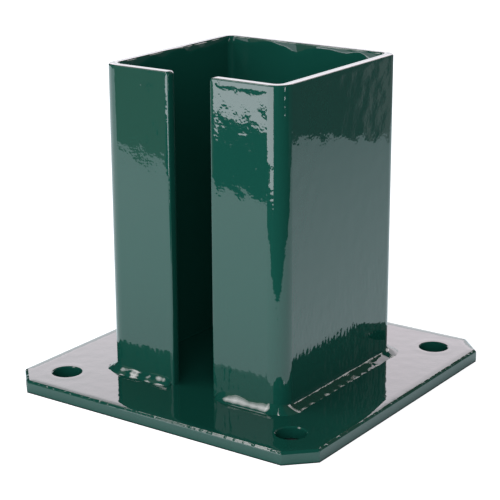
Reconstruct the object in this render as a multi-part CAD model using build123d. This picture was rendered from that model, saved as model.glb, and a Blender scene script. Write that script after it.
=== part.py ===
"""Welded steel base for a square post: a holed plate with a slotted, open-topped socket standing on it.

Frame: millimetres, +Z up, origin at the centre of the plate's underside. The slot faces -Y.
"""

from build123d import *
import os

# Socket: one sheet folded to a square section that stays open down its front
post_width = 90.0
wall_thickness = 5.0
bend_radius_inside = 3.0
socket_height = 150.0
slot_width = 23.0
flange_corner_radius = 1.6
socket_edge_break = 0.8

# Plate: square, with its corners cut off and one anchor hole near each
plate_margin = 35.0
plate_thickness = 6.0
corner_cut = 12.0
corner_cut_radius = 1.0
plate_edge_roll = 1.4
plate_edge_break = 0.8
anchor_hole_diameter = 14.0
anchor_edge_distance = 20.0
hole_edge_break = 0.5

# Fillet welds round the outside of the socket's foot
weld_leg_wall = 3.8
weld_leg_plate = 5.4
weld_crown_height = 0.35
weld_setback = 2.0

# Sizes that follow from the ones above
socket_width = post_width + 2 * wall_thickness
bend_radius_outside = bend_radius_inside + wall_thickness
plate_side = socket_width + 2 * plate_margin
anchor_spacing = plate_side - 2 * anchor_edge_distance
socket_top = plate_thickness + socket_height
wall_plane = socket_width / 2
bend_start = wall_plane - bend_radius_outside
slot_edge = slot_width / 2

# Sides in the order that they come round the socket, seen from above
SIDES = ("front", "right", "back", "left")
side_turn = 360 / len(SIDES)

# Slack for telling whether an edge lies at a given height
NEAR = 0.01


def edges_at_height(shape, height):
    """The shape's edges that lie flat at one height."""
    return shape.edges().filter_by(
        lambda edge: abs(edge.bounding_box().min.Z - height) < NEAR
        and abs(edge.bounding_box().max.Z - height) < NEAR
    )


def base_plate():
    """Square plate with cut corners and four deburred anchor holes, its top edge rolled over by the shears."""
    outline = chamfer(Rectangle(plate_side, plate_side).vertices(), corner_cut)
    outline = fillet(outline.vertices(), corner_cut_radius)
    plate = extrude(outline, plate_thickness)
    plate = fillet(edges_at_height(plate, plate_thickness), plate_edge_roll)
    plate = fillet(edges_at_height(plate, 0), plate_edge_break)

    hole = Cylinder(anchor_hole_diameter / 2, plate_thickness, align=(Align.CENTER, Align.CENTER, Align.MIN))
    plate -= GridLocations(anchor_spacing, anchor_spacing, 2, 2) * hole
    mouths = plate.edges().filter_by(GeomType.CIRCLE).filter_by(lambda edge: edge.is_closed)
    return chamfer(mouths, hole_edge_break)


def beside_slot(edge):
    """True for an edge that lies on one of the slot's two cut faces."""
    return abs(abs(edge.center().X) - slot_edge) < flange_corner_radius and edge.center().Y < 0


def post_socket():
    """Square section with bent corners, open at the top, slotted from rim to plate between its front flanges."""
    outside = RectangleRounded(socket_width, socket_width, bend_radius_outside)
    inside = RectangleRounded(post_width, post_width, bend_radius_inside)
    slot = Pos(0, -wall_plane) * Rectangle(slot_width, 2 * bend_radius_outside)
    socket = Pos(0, 0, plate_thickness) * extrude(outside - inside - slot, socket_height)

    flange_tops = edges_at_height(socket, socket_top).filter_by(Axis.Y).filter_by(beside_slot)
    socket = fillet(flange_tops, flange_corner_radius)

    rim = edges_at_height(socket, socket_top)
    flange_ends = socket.edges().filter_by(beside_slot)
    upright = flange_ends.filter_by(Axis.Z)
    corner_arcs = flange_ends.filter_by(GeomType.CIRCLE)
    across = edges_at_height(socket, socket_top).filter_by(Axis.Y).filter_by(beside_slot)
    return fillet([edge for edge in rim + upright + corner_arcs if edge not in across], socket_edge_break)


def bead_section(position):
    """The weld's cross-section at an X position along the -Y wall: two legs and a slightly crowned face."""
    hypotenuse = (weld_leg_wall**2 + weld_leg_plate**2) ** 0.5
    root = (0, 0)
    plate_toe = (weld_leg_plate, 0)
    wall_toe = (0, weld_leg_wall)
    crown = (
        weld_leg_plate / 2 + weld_crown_height * weld_leg_wall / hypotenuse,
        weld_leg_wall / 2 + weld_crown_height * weld_leg_plate / hypotenuse,
    )
    outline = Line(root, plate_toe) + ThreePointArc(plate_toe, crown, wall_toe) + Line(wall_toe, root)
    upright = Plane(origin=(position, -wall_plane, plate_thickness), x_dir=(0, -1, 0), z_dir=(-1, 0, 0))
    return upright * make_face(outline)


def straight_bead(start, end):
    """Bead along the -Y wall from one X position to another."""
    return extrude(bead_section(start), end - start, dir=(1, 0, 0))


def turned_bead(position, pivot_y, side, angle):
    """Bead that swings round an upright line, towards +X where side is 1 and towards -X where it is -1."""
    pivot = Axis((position, pivot_y, 0), (0, 0, side))
    return revolve(bead_section(position), pivot, angle)


def half_corner(side):
    """Bead round the nearer half of an outer bend, up to the diagonal where the next run meets it."""
    return turned_bead(side * bend_start, -bend_start, side, side_turn / 2)


def side_run():
    """Weld along one whole side, from the middle of one bend to the middle of the next."""
    return half_corner(-1) + straight_bead(-bend_start, bend_start) + half_corner(1)


def flange_run():
    """Weld along the left front flange, from the middle of its bend to a rounded end short of the slot."""
    end = -slot_edge - weld_setback - weld_leg_plate
    return half_corner(-1) + straight_bead(-bend_start, end) + turned_bead(end, -wall_plane, 1, side_turn)


pieces = {"base_plate": base_plate(), "post_socket": post_socket()}
for turns, side in enumerate(SIDES):
    if side == "front":
        pieces["weld_front_left"] = flange_run()
        pieces["weld_front_right"] = mirror(flange_run(), Plane.YZ)
    else:
        pieces[f"weld_{side}"] = Rot(0, 0, turns * side_turn) * side_run()

os.makedirs("parts", exist_ok=True)
for name, piece in pieces.items():
    export_step(piece, f"parts/{name}.step")
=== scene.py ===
"""Looks of a welded steel post base round its CAD frame: gloss powder coat, rippled welds and a small studio.

Metres, +Z up, origin at the centre of the plate's underside, the slot facing -Y. The coat's own sizes are in
millimetres, because its relief is worked out on coordinates in millimetres.
"""

import logging
import math
from dataclasses import asdict, dataclass
from enum import Enum

import bpy
from mathutils import Matrix, Vector


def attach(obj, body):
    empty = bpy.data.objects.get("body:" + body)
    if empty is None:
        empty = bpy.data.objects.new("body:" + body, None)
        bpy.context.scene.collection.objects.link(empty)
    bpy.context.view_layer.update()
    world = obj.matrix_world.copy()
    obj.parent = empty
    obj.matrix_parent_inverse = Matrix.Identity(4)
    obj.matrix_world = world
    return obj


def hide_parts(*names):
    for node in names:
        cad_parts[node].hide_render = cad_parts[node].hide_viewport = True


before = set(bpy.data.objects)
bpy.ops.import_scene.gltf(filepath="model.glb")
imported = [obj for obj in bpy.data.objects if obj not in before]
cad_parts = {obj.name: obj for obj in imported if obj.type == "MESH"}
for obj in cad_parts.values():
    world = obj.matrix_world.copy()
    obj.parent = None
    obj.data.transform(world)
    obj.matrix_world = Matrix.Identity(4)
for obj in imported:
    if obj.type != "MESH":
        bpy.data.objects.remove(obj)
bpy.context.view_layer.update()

Tree = bpy.types.NodeTree
Node = bpy.types.Node

MM = 0.001
LOG = logging.getLogger("post_base")

# A noise's waves are about 1.6 cells long
WAVE_CELLS = 1.6


def linear(colour: str) -> tuple[float, float, float, float]:
    """Linear red, green and blue, and an alpha of 1, from an sRGB hex colour such as #134c40."""
    shares = [int(colour[at:at + 2], 16) / 255 for at in (1, 3, 5)]
    return (*[s / 12.92 if s <= 0.04045 else ((s + 0.055) / 1.055) ** 2.4 for s in shares], 1.0)


def add(tree: Tree, kind: str, inputs: list | dict = (), **settings: object) -> Node:
    """Adds a node with its settings, and fills or links its inputs.

    Args:
        tree: The tree that the node goes into.
        kind: The node's type in Blender.
        inputs: For each input, in order or by name, a constant, an output, or a node for its first output.
        settings: Properties of the node itself.

    Returns:
        The new node.
    """
    node = tree.nodes.new(kind)
    for name, value in settings.items():
        setattr(node, name, value)
    for name, value in inputs.items() if isinstance(inputs, dict) else enumerate(inputs):
        if isinstance(value, Node):
            value = value.outputs[0]
        if isinstance(value, bpy.types.NodeSocket):
            tree.links.new(value, node.inputs[name])
        else:
            node.inputs[name].default_value = value
    return node


def empty_tree(owner: bpy.types.Material | bpy.types.World) -> Tree:
    """Turns on a material's or the world's nodes and takes out the ones it starts with.

    Args:
        owner: The material or the world.

    Returns:
        Its empty tree.
    """
    owner.use_nodes = True
    owner.node_tree.nodes.clear()
    return owner.node_tree


def bell(tree: Tree, offset: Node) -> Node:
    """Adds a bell curve.

    Args:
        tree: The tree that the nodes go into.
        offset: Node that gives how far a point is off the middle, in the curve's own widths.

    Returns:
        Node that gives 1 in the middle and falls to 0 on both sides.
    """
    squared = add(tree, "ShaderNodeMath", [offset, 2.0], operation="POWER")
    falling = add(tree, "ShaderNodeMath", [squared, -1.0], operation="MULTIPLY")
    return add(tree, "ShaderNodeMath", [falling], operation="EXPONENT")


def heading(azimuth: float) -> Vector:
    """Level unit vector at an azimuth in degrees, counted from +X towards +Y."""
    return Vector((math.cos(math.radians(azimuth)), math.sin(math.radians(azimuth)), 0.0))


def sight(azimuth: float, elevation: float) -> Vector:
    """Unit vector at an azimuth and at an elevation above the level, both in degrees."""
    tilt = math.radians(elevation)
    return heading(azimuth) * math.cos(tilt) + Vector((0, 0, math.sin(tilt)))


def highest(node: str, axis: int) -> float:
    """Farthest place that a CAD node reaches along an axis, in metres."""
    return max(corner[axis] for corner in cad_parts[node].bound_box)


def shown_object(name: str, mesh: bpy.types.Mesh) -> bpy.types.Object:
    """Puts a mesh into the scene at the origin.

    Args:
        name: Name of the object and of its mesh.
        mesh: The finished mesh.

    Returns:
        The new object.
    """
    mesh.name = name
    piece = bpy.data.objects.new(name, mesh)
    bpy.context.scene.collection.objects.link(piece)
    return piece


@dataclass(frozen=True)
class SteelSizes:
    """The steel's main planes, read from the frame, and the sizes that the frame doesn't tell, in metres."""

    rim: float = highest("post_socket", 2)
    wall_plane: float = highest("post_socket", 0)
    plate_top: float = highest("base_plate", 2)
    plate_edge: float = highest("base_plate", 0)
    wall: float = 5 * MM
    bend_radius: float = 8 * MM
    slot_edge: float = 11.5 * MM
    corner_cut: float = 12 * MM
    hole_radius: float = 7 * MM
    hole_inset: float = 20 * MM

    @property
    def bend_start(self) -> float:
        """How far from the middle each wall's flat ends and its bend starts."""
        return self.wall_plane - self.bend_radius


STEEL = SteelSizes()


@dataclass(frozen=True)
class PowderCoat:
    """High-gloss polyester powder coat, sprayed on blasted steel and baked until it flowed.

    The eye sees deep moss green under a glassy skin: mirror images with the torn outlines that orange peel
    gives them, a fat line behind each free edge where the melt pulled back, and here and there a dust nib.
    """

    name: str = "gloss_green_powder_coat"
    colour: str = "#134c40"
    roughness: float = 0.03
    ior: float = 1.5
    coat: float = 0.45
    peel_length: float = 3.4
    peel_height: float = 0.02
    swell_length: float = 11.0
    swell_height: float = 0.07
    fat_place: float = 2.1
    fat_width: float = 2.0
    fat_height: float = 0.045
    edge_blend: float = 1.5
    nib_spacing: float = 9.0
    nib_radius: float = 0.3
    nib_height: float = 0.03

    def fat_edge(self, tree: Tree, edges: list[Node], height: Node) -> Node:
        """Adds the ridge that the melt piles up just behind each free edge.

        Args:
            tree: The material's tree.
            edges: Distances in millimetres from each kind of free edge.
            height: The relief so far.

        Returns:
            Node that gives the relief with the ridge.
        """
        nearest = edges[0]
        for edge in edges[1:]:
            nearest = add(tree, "ShaderNodeMath", [nearest, edge, self.edge_blend], operation="SMOOTH_MIN")
        off_ridge = add(tree, "ShaderNodeMath", [
            add(tree, "ShaderNodeMath", [nearest, self.fat_place], operation="SUBTRACT"), self.fat_width,
        ], operation="DIVIDE")
        return add(tree, "ShaderNodeMath", [
            bell(tree, off_ridge), self.fat_height, height,
        ], operation="MULTIPLY_ADD")

    def at_edges(self, tree: Tree, place: Node, height: Node) -> Node:
        """Adds nothing, because a bare coat has no free edge."""
        return height

    def relief(self, tree: Tree) -> Node:
        """Adds the coat's relief, in millimetres.

        Args:
            tree: The material's tree.

        Returns:
            Node that gives the relief's height.
        """
        place = add(tree, "ShaderNodeVectorMath", {
            0: add(tree, "ShaderNodeTexCoord").outputs["Object"],
            "Scale": 1 / MM,
        }, operation="SCALE")

        # Short orange peel lies on a longer and softer swell
        peel = add(tree, "ShaderNodeTexNoise", {
            "Vector": place, "Scale": WAVE_CELLS / self.peel_length, "Detail": 1.0,
        })
        swell = add(tree, "ShaderNodeTexNoise", {
            "Vector": place, "Scale": WAVE_CELLS / self.swell_length, "Detail": 0.0,
        })
        flow = add(tree, "ShaderNodeMath", [
            swell,
            self.swell_height,
            add(tree, "ShaderNodeMath", [peel, self.peel_height], operation="MULTIPLY"),
        ], operation="MULTIPLY_ADD")

        # Dust nibs are tiny domes where one of the scattered points lies in the skin
        speck = add(tree, "ShaderNodeTexVoronoi", {"Vector": place, "Scale": 1 / self.nib_spacing})
        off_nib = add(tree, "ShaderNodeMath", [
            speck, self.nib_spacing / self.nib_radius,
        ], operation="MULTIPLY")
        dusted = add(tree, "ShaderNodeMath", [
            bell(tree, off_nib), self.nib_height, flow,
        ], operation="MULTIPLY_ADD")
        return self.at_edges(tree, place, dusted)

    def material(self) -> bpy.types.Material:
        """Builds the node material.

        Returns:
            The material, shaded from Object coordinates alone.
        """
        material = bpy.data.materials.new(self.name)
        tree = empty_tree(material)
        normal = add(tree, "ShaderNodeBump", {"Strength": 1.0, "Distance": MM, "Height": self.relief(tree)})
        shader = add(tree, "ShaderNodeBsdfPrincipled", {
            "Base Color": linear(self.colour),
            "Roughness": self.roughness,
            "IOR": self.ior,
            "Coat Weight": self.coat,
            "Coat Roughness": self.roughness,
            "Normal": normal,
            "Coat Normal": normal,
        })
        add(tree, "ShaderNodeOutputMaterial", {"Surface": shader})
        return material


@dataclass(frozen=True)
class WeldCoat(PowderCoat):
    """The coat on the welds: the eye sees it smoother there, because the melt pools in the hollows."""

    name: str = "gloss_green_powder_coat_on_welds"
    peel_height: float = 0.008
    swell_height: float = 0.02
    nib_height: float = 0.0


@dataclass(frozen=True)
class PlateCoat(PowderCoat):
    """The coat on the plate.

    The eye sees how the shears drew the outline down, an edge that is worn flat in places, and fat edges
    round the holes.
    """

    name: str = "gloss_green_powder_coat_on_plate"
    drawn_width: float = 4.9
    drawn_rate: float = 0.02
    worn_length: float = 4.0
    worn_place: float = 0.4
    worn_width: float = 1.0
    worn_rate: float = 0.18
    whole_level: float = 0.3
    worn_level: float = 0.45

    def at_edges(self, tree: Tree, place: Node, height: Node) -> Node:
        """Adds the sweep down to the plate's sides and cut corners, the worn edge and the holes' fat edges.

        Args:
            tree: The material's tree.
            place: Node that gives the point in millimetres.
            height: The relief so far.

        Returns:
            Node that gives the relief with all three.
        """
        half = STEEL.plate_edge / MM
        axis = half - STEEL.hole_inset / MM
        mirrored = add(tree, "ShaderNodeVectorMath", [place], operation="ABSOLUTE")
        side = add(tree, "ShaderNodeSeparateXYZ", [mirrored]).outputs
        widest = add(tree, "ShaderNodeMath", [side["X"], side["Y"]], operation="MAXIMUM")
        across_corner = add(tree, "ShaderNodeMath", [side["X"], side["Y"]], operation="ADD")
        short_of_cut = add(tree, "ShaderNodeMath", [
            2 * half - STEEL.corner_cut / MM, across_corner,
        ], operation="SUBTRACT")
        off_axis = add(tree, "ShaderNodeVectorMath", [
            add(tree, "ShaderNodeCombineXYZ", [side["X"], side["Y"], 0.0]), (axis, axis, 0.0),
        ], operation="DISTANCE").outputs["Value"]
        edged = self.fat_edge(tree, [
            add(tree, "ShaderNodeMath", [off_axis, STEEL.hole_radius / MM], operation="SUBTRACT"),
        ], height)

        # From the flat it falls ever faster towards the outline
        off_outline = add(tree, "ShaderNodeMath", [
            add(tree, "ShaderNodeMath", [half, widest], operation="SUBTRACT"),
            add(tree, "ShaderNodeMath", [short_of_cut, math.sqrt(0.5)], operation="MULTIPLY"),
            self.edge_blend,
        ], operation="SMOOTH_MIN")
        inside = add(tree, "ShaderNodeMath", [
            add(tree, "ShaderNodeMath", [self.drawn_width, off_outline], operation="SUBTRACT"), 0.0,
        ], operation="MAXIMUM")
        drawn = add(tree, "ShaderNodeMath", [
            add(tree, "ShaderNodeMath", [inside, 2.0], operation="POWER"), -self.drawn_rate, edged,
        ], operation="MULTIPLY_ADD")
        return self.worn_edge(tree, place, off_outline, drawn)

    def worn_edge(self, tree: Tree, place: Node, off_outline: Node, height: Node) -> Node:
        """Wears the rounded edge flat here and there, which takes out its curve.

        Args:
            tree: The material's tree.
            place: Node that gives the point in millimetres.
            off_outline: Node that gives how far the point is inside the plate's outline.
            height: The relief so far.

        Returns:
            Node that gives the relief with the worn places.
        """
        level = add(tree, "ShaderNodeSeparateXYZ", [place]).outputs["Z"]
        below_top = add(tree, "ShaderNodeMath", [STEEL.plate_top / MM, level], operation="SUBTRACT")
        past_flat = add(tree, "ShaderNodeMath", [
            add(tree, "ShaderNodeMath", [
                add(tree, "ShaderNodeMath", [off_outline, below_top], operation="SUBTRACT"), self.worn_place,
            ], operation="SUBTRACT"),
        ], operation="ABSOLUTE")
        off_flat = add(tree, "ShaderNodeMath", [past_flat, self.worn_width], operation="MINIMUM")
        wear = add(tree, "ShaderNodeMapRange", {
            "Value": add(tree, "ShaderNodeTexNoise", {
                "Vector": place, "Scale": WAVE_CELLS / self.worn_length, "Detail": 0.0,
            }),
            "From Min": self.whole_level,
            "From Max": self.worn_level,
            "To Max": self.worn_rate,
        })
        worn_off = add(tree, "ShaderNodeMath", [
            add(tree, "ShaderNodeMath", [off_flat, 2.0], operation="POWER"), self.worn_width**2,
        ], operation="SUBTRACT")
        return add(tree, "ShaderNodeMath", [worn_off, wear, height], operation="MULTIPLY_ADD")


@dataclass(frozen=True)
class SocketCoat(PowderCoat):
    """The coat on the socket.

    The eye sees fat edges at the rim and the slot, a crown on the cut edges, and a sag away from the inside
    of the rim. Low down, where the powder hardly reaches the corner between wall and plate, it lies thin and
    shows a coarse peel that runs downwards.
    """

    name: str = "gloss_green_powder_coat_on_socket"
    crown_height: float = 0.24
    sag_reach: float = 9.0
    sag_rate: float = 0.03
    sag_length: float = 22.0
    sag_start: float = -0.5
    sag_full: float = -0.9
    thin_top: float = 75.0
    thin_bottom: float = 45.0
    coarse_width: float = 3.1
    coarse_stretch: float = 0.45
    coarse_height: float = 0.05

    def at_edges(self, tree: Tree, place: Node, height: Node) -> Node:
        """Adds the fat edges, the crown on the wall's cut edges, the sag and the coarse peel.

        Args:
            tree: The material's tree.
            place: Node that gives the point in millimetres.
            height: The relief so far.

        Returns:
            Node that gives the relief with all four.
        """
        spot = add(tree, "ShaderNodeSeparateXYZ", [place]).outputs
        mirrored = add(tree, "ShaderNodeVectorMath", [place], operation="ABSOLUTE")
        side = add(tree, "ShaderNodeSeparateXYZ", [mirrored]).outputs

        # The slot's edges count on the front wall alone
        off_slot = add(tree, "ShaderNodeMath", [
            add(tree, "ShaderNodeMath", [side["X"], STEEL.slot_edge / MM], operation="SUBTRACT"),
            add(tree, "ShaderNodeMath", [spot["Y"], STEEL.bend_start / MM], operation="ADD"),
        ], operation="MAXIMUM")
        edged = self.fat_edge(tree, [
            add(tree, "ShaderNodeMath", [STEEL.rim / MM, spot["Z"]], operation="SUBTRACT"), off_slot,
        ], height)
        level = add(tree, "ShaderNodeCombineXYZ", [side["X"], side["Y"], 0.0])
        across = self.across_wall(tree, level)
        crown = add(tree, "ShaderNodeMath", [
            1.0, add(tree, "ShaderNodeMath", [across, 2.0], operation="POWER"),
        ], operation="SUBTRACT")
        crowned = add(tree, "ShaderNodeMath", [crown, self.crown_height, edged], operation="MULTIPLY_ADD")
        sagged = self.sagging(tree, place, across, crowned)

        # The coarse peel fades out upwards
        coarse = add(tree, "ShaderNodeTexNoise", {
            "Vector": add(tree, "ShaderNodeVectorMath", [
                place, (1.0, 1.0, self.coarse_stretch),
            ], operation="MULTIPLY"),
            "Scale": WAVE_CELLS / self.coarse_width,
            "Detail": 0.0,
        })
        thin = add(tree, "ShaderNodeMapRange", {
            "Value": spot["Z"],
            "From Min": self.thin_top,
            "From Max": self.thin_bottom,
            "To Max": self.coarse_height,
        }, interpolation_type="SMOOTHSTEP")
        return add(tree, "ShaderNodeMath", [coarse, thin, sagged], operation="MULTIPLY_ADD")

    def across_wall(self, tree: Tree, level: Node) -> Node:
        """Adds the place across the wall's thickness, bends included.

        Args:
            tree: The material's tree.
            level: Node that gives the mirrored point in millimetres, with a Z of 0.

        Returns:
            Node that gives -1 on the wall's inner face and 1 on its outer one.
        """
        start = STEEL.bend_start / MM
        half_wall = STEEL.wall / MM / 2
        middle = STEEL.bend_radius / MM - half_wall
        past_bend = add(tree, "ShaderNodeVectorMath", [
            add(tree, "ShaderNodeVectorMath", [level, (start, start, 0.0)], operation="SUBTRACT"),
            (0.0, 0.0, 0.0),
        ], operation="MAXIMUM")
        off_centre = add(tree, "ShaderNodeVectorMath", [past_bend], operation="LENGTH").outputs["Value"]
        return add(tree, "ShaderNodeMath", [
            add(tree, "ShaderNodeMath", [off_centre, middle], operation="SUBTRACT"), half_wall,
        ], operation="DIVIDE")

    def sagging(self, tree: Tree, place: Node, across: Node, height: Node) -> Node:
        """Draws the melt down from the inside of the rim, in some places farther than in others.

        Args:
            tree: The material's tree.
            place: Node that gives the point in millimetres.
            across: Node that gives the place across the wall.
            height: The relief so far.

        Returns:
            Node that gives the relief with the sag.
        """
        level = add(tree, "ShaderNodeSeparateXYZ", [place]).outputs["Z"]
        reach = add(tree, "ShaderNodeMath", [
            add(tree, "ShaderNodeTexNoise", {
                "Vector": place, "Scale": WAVE_CELLS / self.sag_length, "Detail": 0.0,
            }),
            self.sag_reach,
        ], operation="MULTIPLY")
        above = add(tree, "ShaderNodeMath", [
            add(tree, "ShaderNodeMath", [level, STEEL.rim / MM], operation="SUBTRACT"), reach,
        ], operation="ADD")
        drawn = add(tree, "ShaderNodeMath", [
            add(tree, "ShaderNodeMath", [above, 0.0], operation="MAXIMUM"), 2.0,
        ], operation="POWER")
        inside = add(tree, "ShaderNodeMapRange", {
            "Value": across, "From Min": self.sag_start, "From Max": self.sag_full,
        })
        return add(tree, "ShaderNodeMath", [
            add(tree, "ShaderNodeMath", [drawn, inside], operation="MULTIPLY"), -self.sag_rate, height,
        ], operation="MULTIPLY_ADD")


class Side(Enum):
    """The socket's sides, by the turn in degrees that brings the front to each."""

    FRONT = 0
    RIGHT = 90
    BACK = 180
    LEFT = 270


@dataclass(frozen=True)
class BeadSizes:
    """Sizes of one run in metres. Each leg has a size for the run's middle and one for its two ends."""

    wall_leg: float = 2.6 * MM
    wall_leg_at_ends: float = 4.0 * MM
    plate_leg: float = 5.8 * MM
    plate_leg_at_ends: float = 6.0 * MM
    seed: float = 0.0
    end_stretch: float = 14 * MM
    sweep_out: float = 0.62
    sweep_up: float = 0.0
    face_out: float = 0.2
    face_up: float = 0.5
    crown_share: float = 0.1
    wander: float = 0.9 * MM
    ripple_pitch: float = 5.2 * MM
    ripple_height: float = 0.1 * MM
    ripple_reach: float = 0.3 * MM
    ripple_softness: float = 0.6
    nose_length: float = 4.5 * MM
    sunk_root: float = 0.3 * MM
    ring_spacing: float = 0.3 * MM

    def inputs(self) -> dict[str, float]:
        """The node tree's inputs by name, such as Plate leg."""
        return {name.replace("_", " ").capitalize(): size for name, size in asdict(self).items()}


class BeadTree:
    """Geometry Nodes that turn a route along the wall's foot into a crowned fillet bead with hollow toes."""

    columns: int = 32
    wander_length: float = 11 * MM
    pitch_change: float = 0.35
    ripple_bow: float = 0.9
    wall_shift: float = 31.7
    plate_shift: float = 57.3
    merge_distance: float = 0.001 * MM

    def __init__(self) -> None:
        """Builds the tree, with a named input for each of a bead's sizes."""
        tree = self.tree = bpy.data.node_groups.new("weld_bead", "GeometryNodeTree")
        tree.interface.new_socket("Geometry", in_out="INPUT", socket_type="NodeSocketGeometry")
        for name in BeadSizes().inputs():
            tree.interface.new_socket(name, in_out="INPUT", socket_type="NodeSocketFloat")
        tree.interface.new_socket("Material", in_out="INPUT", socket_type="NodeSocketMaterial")
        tree.interface.new_socket("Geometry", in_out="OUTPUT", socket_type="NodeSocketGeometry")
        self.given = add(tree, "NodeGroupInput").outputs
        self.route = add(tree, "GeometryNodeMeshToCurve", [self.given["Geometry"]])

        # A flat grid to bend round the route: X runs along it and Y from the plate's toe up to the wall's
        length = add(tree, "GeometryNodeCurveLength", [self.route])
        rings = add(tree, "ShaderNodeMath", [length, self.given["Ring spacing"]], operation="DIVIDE")
        grid = add(tree, "GeometryNodeMeshGrid", {
            "Size X": 1.0,
            "Size Y": 1.0,
            "Vertices X": rings,
            "Vertices Y": self.columns,
        })
        cell = add(tree, "ShaderNodeSeparateXYZ", [add(tree, "GeometryNodeInputPosition")]).outputs
        self.share = add(tree, "ShaderNodeMath", [cell["X"], 0.5], operation="ADD")
        self.along = add(tree, "ShaderNodeMath", [self.share, length], operation="MULTIPLY")
        self.to_end = add(tree, "ShaderNodeMath", [
            self.along, add(tree, "ShaderNodeMath", [length, self.along], operation="SUBTRACT"),
        ], operation="MINIMUM")
        bent = add(tree, "GeometryNodeSetPosition", {"Geometry": grid, "Position": self.point(cell["Y"])})
        closed = add(tree, "GeometryNodeMergeByDistance", {"Geometry": bent, "Distance": self.merge_distance})
        smooth = add(tree, "GeometryNodeSetShadeSmooth", {"Geometry": closed})
        real = add(tree, "GeometryNodeRealizeInstances", {"Geometry": smooth})
        coated = add(tree, "GeometryNodeSetMaterial", {"Geometry": real, "Material": self.given["Material"]})
        add(tree, "NodeGroupOutput", {"Geometry": coated})

    def unevenness(self, shift: float) -> Node:
        """Adds a slow random change along the run, from 0 to 1.

        Args:
            shift: Sets one use apart from another.

        Returns:
            Node that gives the change.
        """
        start = add(self.tree, "ShaderNodeMath", [self.given["Seed"], shift], operation="ADD")
        return add(self.tree, "ShaderNodeTexNoise", {
            "W": add(self.tree, "ShaderNodeMath", [
                self.along, 1 / self.wander_length, start,
            ], operation="MULTIPLY_ADD"),
            "Scale": 1.0,
            "Detail": 0.0,
        }, noise_dimensions="1D")

    def leg(self, name: str, shift: float) -> Node:
        """Adds one leg's length along the run, blended from its end size to its middle size, and its wander.

        Args:
            name: Name of the input with the leg's middle size.
            shift: Sets this leg's wander apart from the other's.

        Returns:
            Node that gives the leg's length.
        """
        blended = add(self.tree, "ShaderNodeMapRange", {
            "Value": self.to_end,
            "From Max": self.given["End stretch"],
            "To Min": self.given[name + " at ends"],
            "To Max": self.given[name],
        }, interpolation_type="SMOOTHSTEP")
        off_mean = add(self.tree, "ShaderNodeMath", [self.unevenness(shift), 0.5], operation="SUBTRACT")
        return add(self.tree, "ShaderNodeMath", [
            off_mean, self.given["Wander"], blended,
        ], operation="MULTIPLY_ADD")

    def lump(self, rise: Node, drop: Node) -> Node:
        """Adds the ripples: rounded lumps with creases between, bowed across the bead and unevenly long.

        Args:
            rise: How far up the face a point is, from 0 at the plate's toe to 1 at the wall's.
            drop: The same, counted down from the wall's toe.

        Returns:
            Node that gives the lump, from 0 in a crease to 1 on a crest.
        """
        tree = self.tree
        bow = add(tree, "ShaderNodeMath", [
            add(tree, "ShaderNodeMath", [rise, drop], operation="MULTIPLY"),
            self.ripple_bow,
            add(tree, "ShaderNodeMath", [self.unevenness(0.0), self.pitch_change], operation="MULTIPLY"),
        ], operation="MULTIPLY_ADD")
        turns = add(tree, "ShaderNodeMath", [
            add(tree, "ShaderNodeMath", [self.along, self.given["Ripple pitch"]], operation="DIVIDE"), bow,
        ], operation="ADD")
        wave = add(tree, "ShaderNodeMath", [
            add(tree, "ShaderNodeMath", [turns, math.pi], operation="MULTIPLY"),
        ], operation="SINE")
        return add(tree, "ShaderNodeMath", [
            add(tree, "ShaderNodeMath", [wave, 2.0], operation="POWER"), self.given["Ripple softness"],
        ], operation="POWER")

    def section(self, rise: Node) -> Node:
        """Adds the section's curve: out from the wall as X and up from the plate as Z.

        It is a cubic curve, and its two pull points are given as shares of the legs.

        Args:
            rise: How far up the face a point is.

        Returns:
            Node that gives the point of the curve.
        """
        tree = self.tree
        drop = add(tree, "ShaderNodeMath", [1.0, rise], operation="SUBTRACT")
        lump = self.lump(rise, drop)
        wall_leg = self.leg("Wall leg", self.wall_shift)
        plate_leg = self.leg("Plate leg", self.plate_shift)
        scalloped = add(tree, "ShaderNodeMath", [
            lump, self.given["Ripple reach"], plate_leg,
        ], operation="MULTIPLY_ADD")

        # The crown swells between the toes, by a share of the legs' mean, and the ripples swell with it
        arch = add(tree, "ShaderNodeMath", [
            add(tree, "ShaderNodeMath", [
                add(tree, "ShaderNodeMath", [rise, math.pi], operation="MULTIPLY"),
            ], operation="SINE"),
            2.0,
        ], operation="POWER")
        mean_leg = add(tree, "ShaderNodeMath", [
            add(tree, "ShaderNodeMath", [wall_leg, plate_leg], operation="MULTIPLY"),
        ], operation="SQRT")
        crown = add(tree, "ShaderNodeMath", [
            lump,
            self.given["Ripple height"],
            add(tree, "ShaderNodeMath", [mean_leg, self.given["Crown share"]], operation="MULTIPLY"),
        ], operation="MULTIPLY_ADD")
        swelling = add(tree, "ShaderNodeMath", [
            add(tree, "ShaderNodeMath", [arch, crown], operation="MULTIPLY"), math.sqrt(0.5),
        ], operation="MULTIPLY")
        weights = self.weights(rise, drop)
        pulls_out = add(tree, "ShaderNodeCombineXYZ", [1.0, self.given["Sweep out"], self.given["Face out"]])
        pulls_up = add(tree, "ShaderNodeCombineXYZ", [0.0, self.given["Sweep up"], self.given["Face up"]])
        out_share, pulled_up = (
            add(tree, "ShaderNodeVectorMath", [weights, pulls], operation="DOT_PRODUCT").outputs["Value"]
            for pulls in (pulls_out, pulls_up)
        )
        up_share = add(tree, "ShaderNodeMath", [
            pulled_up, add(tree, "ShaderNodeMath", [rise, 3.0], operation="POWER"),
        ], operation="ADD")
        return add(tree, "ShaderNodeCombineXYZ", {
            "X": add(tree, "ShaderNodeMath", [out_share, scalloped, swelling], operation="MULTIPLY_ADD"),
            "Z": add(tree, "ShaderNodeMath", [up_share, wall_leg, swelling], operation="MULTIPLY_ADD"),
        })

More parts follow.
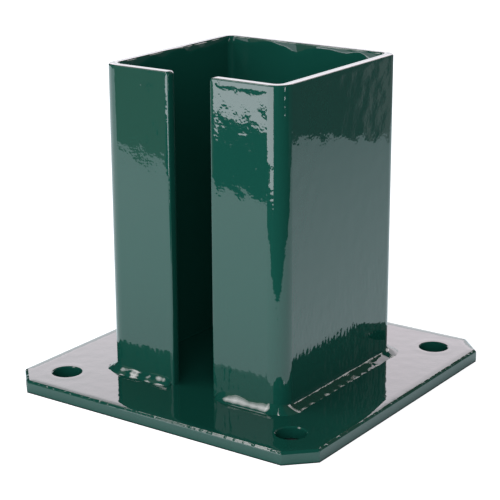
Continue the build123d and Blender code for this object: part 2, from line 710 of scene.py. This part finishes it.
    def weights(self, rise: Node, drop: Node) -> Node:
        """Adds how much the plate's toe and the two pull points count in the curve.

        Args:
            rise: How far up the face a point is.
            drop: The same, counted down from the wall's toe.

        Returns:
            Node that gives the three weights of the cubic curve as X, Y and Z.
        """
        tree = self.tree
        both = add(tree, "ShaderNodeMath", [
            add(tree, "ShaderNodeMath", [rise, drop], operation="MULTIPLY"), 3.0,
        ], operation="MULTIPLY")
        return add(tree, "ShaderNodeCombineXYZ", [
            add(tree, "ShaderNodeMath", [drop, 3.0], operation="POWER"),
            add(tree, "ShaderNodeMath", [both, drop], operation="MULTIPLY"),
            add(tree, "ShaderNodeMath", [both, rise], operation="MULTIPLY"),
        ])

    def fullness(self) -> Node:
        """Adds the rounded noses, which shrink the section to nothing at both ends."""
        near = add(self.tree, "ShaderNodeMapRange", {
            "Value": self.to_end,
            "From Max": self.given["Nose length"],
            "To Min": 1.0,
            "To Max": 0.0,
        })
        return add(self.tree, "ShaderNodeMath", [
            add(self.tree, "ShaderNodeMath", [
                1.0, add(self.tree, "ShaderNodeMath", [near, 2.0], operation="POWER"),
            ], operation="SUBTRACT"),
        ], operation="SQRT")

    def point(self, across: bpy.types.NodeSocket) -> Node:
        """Adds each grid point's place on the bead.

        Args:
            across: The grid's Y, from -0.5 to 0.5. Its first and last columns close the section at its root.

        Returns:
            Node that gives the place.
        """
        tree = self.tree
        gap = 1 / (self.columns - 1)
        face_edge = 0.5 - gap
        rise = add(tree, "ShaderNodeMapRange", {
            "Value": across, "From Min": -face_edge, "From Max": face_edge,
        })
        on_face = add(tree, "ShaderNodeMath", [
            add(tree, "ShaderNodeMath", [across], operation="ABSOLUTE"), face_edge + gap / 2,
        ], operation="LESS_THAN")
        shaped = add(tree, "ShaderNodeVectorMath", {
            0: self.section(rise), "Scale": on_face,
        }, operation="SCALE")
        sunk = add(tree, "ShaderNodeVectorMath", {
            0: (-1.0, 0.0, -1.0),
            "Scale": self.given["Sunk root"],
        }, operation="SCALE")
        corner = add(tree, "ShaderNodeVectorMath", [shaped, sunk], operation="ADD")
        sized = add(tree, "ShaderNodeSeparateXYZ", [
            add(tree, "ShaderNodeVectorMath", {0: corner, "Scale": self.fullness()}, operation="SCALE"),
        ]).outputs

        # Out to the right of the route and up from the plate
        on_route = add(tree, "GeometryNodeSampleCurve", {
            "Curves": self.route, "Factor": self.share,
        }, mode="FACTOR").outputs
        away = add(tree, "ShaderNodeVectorMath", [
            on_route["Tangent"], (0.0, 0.0, 1.0),
        ], operation="CROSS_PRODUCT")
        outward = add(tree, "ShaderNodeVectorMath", {0: away, "Scale": sized["X"]}, operation="SCALE")
        upward = add(tree, "ShaderNodeCombineXYZ", {"Z": sized["Z"]})
        return add(tree, "ShaderNodeVectorMath", [
            on_route["Position"], add(tree, "ShaderNodeVectorMath", [outward, upward], operation="ADD"),
        ], operation="ADD")

    def lay(
        self, name: str, route: list[Vector], sizes: BeadSizes, finish: bpy.types.Material,
    ) -> bpy.types.Object:
        """Lays a bead along a route.

        Args:
            name: Name of the piece.
            route: Points along the wall's foot, in order, with the open side on the right.
            sizes: The bead's sizes.
            finish: Material of the bead.

        Returns:
            The bead as a plain closed mesh at the origin.
        """
        path = bpy.data.meshes.new(name)
        path.from_pydata(route, [(at, at + 1) for at in range(len(route) - 1)], [])
        drawn = shown_object(name + "_route", path)
        sweep = drawn.modifiers.new("bead", "NODES")
        sweep.node_group = self.tree
        values = {**sizes.inputs(), "Material": finish}
        for item in self.tree.interface.items_tree:
            if item.in_out == "INPUT" and item.name in values:
                sweep[item.identifier] = values[item.name]
        mesh = bpy.data.meshes.new_from_object(drawn.evaluated_get(bpy.context.evaluated_depsgraph_get()))
        bpy.data.objects.remove(drawn)
        bpy.data.meshes.remove(path)
        return shown_object(name, mesh)


@dataclass(frozen=True)
class FootWelds:
    """The five weld runs round the socket's foot, one for each weld in the frame."""

    slot_setback: float = 1.4 * MM
    half_corner: float = 45.0
    overlap: float = 20.0
    arc_steps: int = 24
    front_left: BeadSizes = BeadSizes(
        wall_leg=4.1 * MM, wall_leg_at_ends=4.6 * MM, plate_leg=4.6 * MM, plate_leg_at_ends=4.6 * MM,
        crown_share=0.12, wander=1.4 * MM,
        ripple_pitch=7.5 * MM, ripple_height=0.1 * MM, ripple_reach=0.3 * MM, ripple_softness=1.0,
    )
    front_right: BeadSizes = BeadSizes(
        wall_leg=4.2 * MM, wall_leg_at_ends=4.5 * MM, plate_leg=5.9 * MM, plate_leg_at_ends=6.1 * MM,
        seed=7.3, sweep_out=0.72, face_out=0.33, face_up=0.48, crown_share=0.0, wander=0.5 * MM,
        ripple_height=0.01 * MM, ripple_reach=0.05 * MM, ripple_softness=1.0, nose_length=8 * MM,
    )
    right: BeadSizes = BeadSizes(
        wall_leg=2.3 * MM, wall_leg_at_ends=4.0 * MM, plate_leg=6.1 * MM, plate_leg_at_ends=6.3 * MM,
        seed=14.6, sweep_out=0.66, sweep_up=0.4, face_out=0.04, face_up=0.8, crown_share=0.0, wander=0.6 * MM,
        ripple_pitch=6.5 * MM, ripple_height=0.04 * MM, ripple_reach=0.25 * MM, ripple_softness=1.0,
    )
    back: BeadSizes = BeadSizes(seed=21.9)
    left: BeadSizes = BeadSizes(seed=29.2)

    def bend(self, side: int) -> list[Vector]:
        """Points round half of a bend of the front, a little past the diagonal.

        Args:
            side: -1 for the bend on the left, +1 for the one on the right.

        Returns:
            The points in the order that the bead runs, from left to right.
        """
        swing = math.radians(self.half_corner + self.overlap)
        centre = Vector((side * STEEL.bend_start, -STEEL.bend_start, STEEL.plate_top))
        points = []
        for step in range(self.arc_steps + 1):
            angle = side * swing * step / self.arc_steps
            points.append(centre + STEEL.bend_radius * Vector((math.sin(angle), -math.cos(angle), 0)))
        return points if side > 0 else points[::-1]

    def build(self, finish: bpy.types.Material) -> None:
        """Lays the welds and puts each in the place of its CAD node.

        Args:
            finish: Material of the beads.
        """
        left_stop, right_stop = (
            Vector((side * (STEEL.slot_edge + self.slot_setback), -STEEL.wall_plane, STEEL.plate_top))
            for side in (-1, 1)
        )
        whole = self.bend(-1) + self.bend(1)
        runs = {
            "weld_front_left": (self.bend(-1) + [left_stop], Side.FRONT, self.front_left),
            "weld_front_right": ([right_stop] + self.bend(1), Side.FRONT, self.front_right),
            "weld_right": (whole, Side.RIGHT, self.right),
            "weld_back": (whole, Side.BACK, self.back),
            "weld_left": (whole, Side.LEFT, self.left),
        }
        tree = BeadTree()
        for node, (route, side, sizes) in runs.items():
            turn = Matrix.Rotation(math.radians(side.value), 3, "Z")
            bead = tree.lay(node + "_bead", [turn @ point for point in route], sizes, finish)
            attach(bead, "root")
            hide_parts(node)
            LOG.info("%s: %d faces", bead.name, len(bead.data.polygons))


@dataclass(frozen=True)
class SteelWork:
    """The plate and the folded socket, whose CAD shapes are kept and coated."""

    plate: PlateCoat = PlateCoat()
    socket: SocketCoat = SocketCoat()

    def dress(self) -> None:
        """Gives both kept CAD nodes their finish."""
        for node, coat in {"base_plate": self.plate, "post_socket": self.socket}.items():
            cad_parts[node].data.materials[0] = coat.material()
            LOG.info("%s coated", node)


@dataclass(frozen=True)
class Softbox:
    """Light that faces the object, unseen by the camera itself.

    It is one even panel, or several of growing size that add up to a hot middle. The azimuth, the elevation
    and the distance place it, and the shift and the lift then move it sideways and up.
    """

    name: str
    azimuth: float
    elevation: float
    distance: float
    width: float
    height: float
    radiance: float
    shift: float = 0.0
    lift: float = 0.0
    colour: str = "#f7f7ff"
    mirrored: bool = True
    panels: int = 1
    panel_gap: float = 10 * MM

    def build(self) -> None:
        """Makes the light from equally strong panels, each larger and farther than the one before it."""
        for panel in range(1, self.panels + 1):
            self.panel(panel / self.panels, self.distance + panel * self.panel_gap)

    def panel(self, share: float, distance: float) -> None:
        """Makes one panel, an area lamp.

        Args:
            share: Its share of the light's size.
            distance: How far it stands from the object.
        """
        lamp = bpy.data.lights.new(self.name, "AREA")
        lamp.shape = "RECTANGLE"
        lamp.size = self.width * share
        lamp.size_y = self.height * share
        lamp.color = linear(self.colour)[:3]

        # Without normalising, a quarter of the energy is the radiance of the panel's face
        lamp.normalize = False
        lamp.energy = 4 * self.radiance / self.panels
        box = bpy.data.objects.new(self.name, lamp)
        bpy.context.scene.collection.objects.link(box)
        away = sight(self.azimuth, self.elevation)
        sideways = heading(self.azimuth + 90)
        box.location = away * distance + sideways * self.shift + Vector((0, 0, self.lift))
        box.rotation_euler = (-away).to_track_quat("-Z", "Y").to_euler()
        box.visible_camera = False
        box.visible_glossy = self.mirrored


@dataclass(frozen=True)
class Screen:
    """Far wall, curved round the object, that nothing but the gloss of the coat shows."""

    name: str
    start: float
    end: float
    bottom: float
    top: float
    colour: str
    distance: float = 5.0
    steps: int = 12

    def build(self) -> None:
        """Makes the screen between its two azimuths and its two elevations."""
        step = (self.end - self.start) / self.steps
        points = [
            self.distance * sight(self.start + step * column, level)
            for column in range(self.steps + 1)
            for level in (self.bottom, self.top)
        ]
        mesh = bpy.data.meshes.new(self.name)
        mesh.from_pydata(points, [], [(at, at + 2, at + 3, at + 1) for at in range(0, 2 * self.steps, 2)])
        show_in_gloss_alone(shown_object(self.name, mesh), self.colour)


def show_in_gloss_alone(wall: bpy.types.Object, colour: str) -> None:
    """Gives a piece of the studio an even colour that only reflections see.

    Args:
        wall: The piece of the studio.
        colour: Its colour in a mirror.
    """
    material = bpy.data.materials.new(wall.name)
    tree = empty_tree(material)
    glow = add(tree, "ShaderNodeEmission", {"Color": linear(colour), "Strength": 1.0})
    add(tree, "ShaderNodeOutputMaterial", {"Surface": glow})
    wall.data.materials.append(material)
    wall.visible_camera = False
    wall.visible_diffuse = False
    wall.visible_shadow = False
    wall.visible_transmission = False


@dataclass(frozen=True)
class Studio:
    """White table, softboxes, and the walls and the dark room that only reflections see."""

    # In metres, to the right in the picture and towards the camera
    table_corners: tuple[tuple[float, float], ...] = (
        (-0.90, 0.05), (-0.53, 0.147), (-0.18, 0.242), (0.20, 0.240), (0.58, -0.05), (0.51, -0.23),
        (0.45, -0.5), (0.80, -1.8), (-1.2, -1.8),
    )
    camera_azimuth: float = -55.07
    contact: float = 12 * MM
    contact_depth: float = 2.0
    table_white: float = 0.8
    lit_azimuth: float = 56.0
    lit_from: float = -0.4
    lit_to: float = 0.55
    mirrored_bright: float = 1.4
    mirrored_dim: float = 0.76
    even_light: float = 0.15
    room_half: float = 6.0
    white: str = "#ffffff"
    laminate: str = "#e6e6e6"
    # Painted shade: the table's colour under the plate, which the holes show
    painted_shade_under_plate: str = "#404a4a"
    mirrored_near: str = "#eef8ff"
    mirrored_far: str = "#e2f8ff"
    room: str = "#202020"
    softboxes: tuple[Softbox, ...] = (
        Softbox("key_low", -85.0, 0.0, 2.05, 2.046, 0.74, 3.4, shift=-0.777, lift=-0.07),
        Softbox("key_high", -85.0, 0.0, 2.05, 2.046, 1.35, 1.05, shift=-0.777, lift=0.975),
        Softbox("fill", -60.0, 25.0, 1.8, 1.0, 1.0, 3.7, mirrored=False),
        Softbox("back_left_low", 122.5, 0.0, 1.5, 1.91, 0.38, 1.2, lift=0.27, colour="#f6f6fc"),
        Softbox("back_left", 122.5, 0.0, 1.5, 1.91, 0.39, 1.85, lift=0.655, colour="#fff4fc"),
        Softbox("back_left_high", 122.5, 0.0, 1.5, 1.91, 0.54, 1.4, lift=1.12, colour="#fff4fc"),
        Softbox("slim_back", 86.0, 38.0, 1.5, 0.24, 0.34, 2.4, colour="#fff6f8"),
        Softbox("high_left", -141.0, 57.0, 1.3, 0.66, 0.4, 7.0, colour="#fff6f8", panels=4),
        Softbox("slim", -9.0, 0.0, 2.05, 0.087, 0.87, 8.0, lift=0.165),
    )
    screens: tuple[Screen, ...] = (
        Screen("grey_wall_right", 20.0, 58.7, -13.0, 60.0, "#4e585a"),
        Screen("soft_wall_right", 58.7, 59.5, -13.0, 60.0, "#687074"),
        Screen("pale_wall_right", 59.5, 80.0, -13.0, 26.0, "#8e9698"),
        Screen("warm_wall_left", -150.0, -127.3, -14.0, 50.0, "#8a7d70"),
        Screen("wooden_ceiling", 59.5, 89.0, 26.0, 70.0, "#584238"),
    )

    def table(self) -> None:
        """Makes the white table that the object stands on."""
        nearer = heading(self.camera_azimuth)
        right = heading(self.camera_azimuth + 90)
        mesh = bpy.data.meshes.new("table")
        corners = [right * across + nearer * depth for across, depth in self.table_corners]
        mesh.from_pydata(corners, [], [tuple(range(len(corners)))[::-1]])
        mesh.materials.append(self.laminate_material())
        shown_object("table", mesh)

    def beside_plate(self, tree: Tree, place: bpy.types.NodeSocket) -> Node:
        """Adds the mask for the painted shade under the plate: there the table's colour is dark and its glow
        is off, so the holes look dark.

        Args:
            tree: The material's tree.
            place: Output that gives the point in metres.

        Returns:
            Node that gives 0 under the plate and 1 beside it.
        """
        reach = add(tree, "ShaderNodeSeparateXYZ", [
            add(tree, "ShaderNodeVectorMath", [place], operation="ABSOLUTE"),
        ]).outputs
        past_cut = add(tree, "ShaderNodeMath", [
            add(tree, "ShaderNodeMath", [reach["X"], reach["Y"]], operation="ADD"),
            STEEL.plate_edge - STEEL.corner_cut,
        ], operation="SUBTRACT")
        return add(tree, "ShaderNodeMath", [
            add(tree, "ShaderNodeMath", [
                add(tree, "ShaderNodeMath", [reach["X"], reach["Y"]], operation="MAXIMUM"), past_cut,
            ], operation="MAXIMUM"),
            STEEL.plate_edge,
        ], operation="GREATER_THAN")

    def laminate_material(self) -> bpy.types.Material:
        """Builds the table's laminate.

        Returns:
            The material, which the camera and the gloss each see in their own way.
        """
        material = bpy.data.materials.new("white_laminate")
        tree = empty_tree(material)
        place = add(tree, "ShaderNodeTexCoord").outputs["Object"]
        beside_plate = self.beside_plate(tree, place)

        # To the camera the table is white but for the object's shadow
        path = add(tree, "ShaderNodeLightPath").outputs
        white = add(tree, "ShaderNodeEmission", {
            "Color": linear(self.white),
            "Strength": add(tree, "ShaderNodeMath", [
                add(tree, "ShaderNodeMath", [path["Is Camera Ray"], self.table_white], operation="MULTIPLY"),
                beside_plate,
            ], operation="MULTIPLY"),
        })
        # Under the plate the sheet's colour is painted shade
        sheet = add(tree, "ShaderNodeBsdfDiffuse", {
            "Color": add(tree, "ShaderNodeMixRGB", [
                beside_plate, linear(self.painted_shade_under_plate), linear(self.laminate),
            ]),
        })

        # In the gloss it is brightest under the key light and shaded where the plate stands close
        away = add(tree, "ShaderNodeMapRange", {
            "Value": add(tree, "ShaderNodeVectorMath", [
                place, heading(self.lit_azimuth),
            ], operation="DOT_PRODUCT").outputs["Value"],
            "From Min": self.lit_from,
            "From Max": self.lit_to,
        })
        openness = add(tree, "ShaderNodeAmbientOcclusion", {"Distance": self.contact}).outputs["AO"]
        open_share = add(tree, "ShaderNodeMath", [openness, self.contact_depth], operation="POWER")
        bright = add(tree, "ShaderNodeMapRange", {
            "Value": away, "To Min": self.mirrored_bright, "To Max": self.mirrored_dim,
        })
        mirrored = add(tree, "ShaderNodeEmission", {
            "Color": add(tree, "ShaderNodeMixRGB", [
                away, linear(self.mirrored_near), linear(self.mirrored_far),
            ]),
            "Strength": add(tree, "ShaderNodeMath", [
                add(tree, "ShaderNodeMath", [bright, open_share], operation="MULTIPLY"), beside_plate,
            ], operation="MULTIPLY"),
        })
        add(tree, "ShaderNodeOutputMaterial", {"Surface": add(tree, "ShaderNodeMixShader", [
            add(tree, "ShaderNodeMath", [
                path["Is Glossy Ray"], path["Is Transmission Ray"],
            ], operation="MAXIMUM"),
            add(tree, "ShaderNodeAddShader", [white, sheet]),
            mirrored,
        ])})
        return material

    def dark_room(self) -> None:
        """Makes the dark room that the coat mirrors where there is no light, no wall and no table."""
        ends = (-self.room_half, self.room_half)
        mesh = bpy.data.meshes.new("dark_room")
        points = [(x, y, z) for x in ends for y in ends for z in ends]
        faces = [(0, 1, 3, 2), (4, 6, 7, 5), (0, 4, 5, 1), (2, 3, 7, 6), (0, 2, 6, 4), (1, 5, 7, 3)]
        mesh.from_pydata(points, [], faces)
        show_in_gloss_alone(shown_object("dark_room", mesh), self.room)

    def world(self) -> None:
        """Makes the world: white behind the object, and a little even light on it."""
        world = bpy.data.worlds.new("studio")
        bpy.context.scene.world = world
        tree = empty_tree(world)
        path = add(tree, "ShaderNodeLightPath").outputs
        mirrored = add(tree, "ShaderNodeMath", [
            path["Is Glossy Ray"], path["Is Transmission Ray"],
        ], operation="MAXIMUM")
        seen = add(tree, "ShaderNodeMath", [path["Is Camera Ray"], mirrored], operation="MAXIMUM")
        background = add(tree, "ShaderNodeBackground", {
            "Color": linear(self.white),
            "Strength": add(tree, "ShaderNodeMapRange", {
                "Value": seen, "To Min": self.even_light, "To Max": 1.0,
            }),
        })
        add(tree, "ShaderNodeOutputWorld", {"Surface": background})

    def build(self) -> None:
        """Sets up the whole studio."""
        self.table()
        self.dark_room()
        self.world()
        for piece in self.softboxes + self.screens:
            piece.build()
        bpy.context.scene.view_settings.view_transform = "Standard"


@dataclass(frozen=True)
class PhotoCamera:
    """The photograph's camera, from a perspective fit to the object's corners."""

    azimuth: float = 34.927
    elevation: float = 17.1686
    roll: float = -0.2253
    distance: float = 771.1514 * MM
    aim_right: float = -1.7029 * MM
    aim_height: float = 62.3048 * MM
    focal_length: float = 1595.458
    image_side: float = 500.0
    sensor: float = 36.0

    def build(self) -> None:
        """Makes the camera and sets it as the scene's own."""
        level = heading(self.azimuth)
        forward = sight(self.azimuth + 90, -self.elevation)
        upright = level.cross(forward)
        roll = math.radians(self.roll)
        right = level * math.cos(roll) + upright * math.sin(roll)
        up = upright * math.cos(roll) - level * math.sin(roll)
        lens = bpy.data.cameras.new("photo_camera")
        lens.sensor_width = self.sensor
        lens.lens = self.focal_length / self.image_side * self.sensor
        lens.dof.use_dof = False
        camera = bpy.data.objects.new("photo_camera", lens)
        bpy.context.scene.collection.objects.link(camera)
        place = level * self.aim_right + Vector((0, 0, self.aim_height)) - forward * self.distance
        turn = Matrix((right, up, -forward)).transposed()
        camera.matrix_world = Matrix.Translation(place) @ turn.to_4x4()
        bpy.context.scene.camera = camera


def main() -> None:
    """Builds the camera, the studio and the object's looks in order."""
    logging.basicConfig(level=logging.INFO, format="%(message)s")
    PhotoCamera().build()
    LOG.info("camera placed")
    Studio().build()
    LOG.info("studio built")
    SteelWork().dress()
    FootWelds().build(WeldCoat().material())


if __name__ == "__main__":
    main()
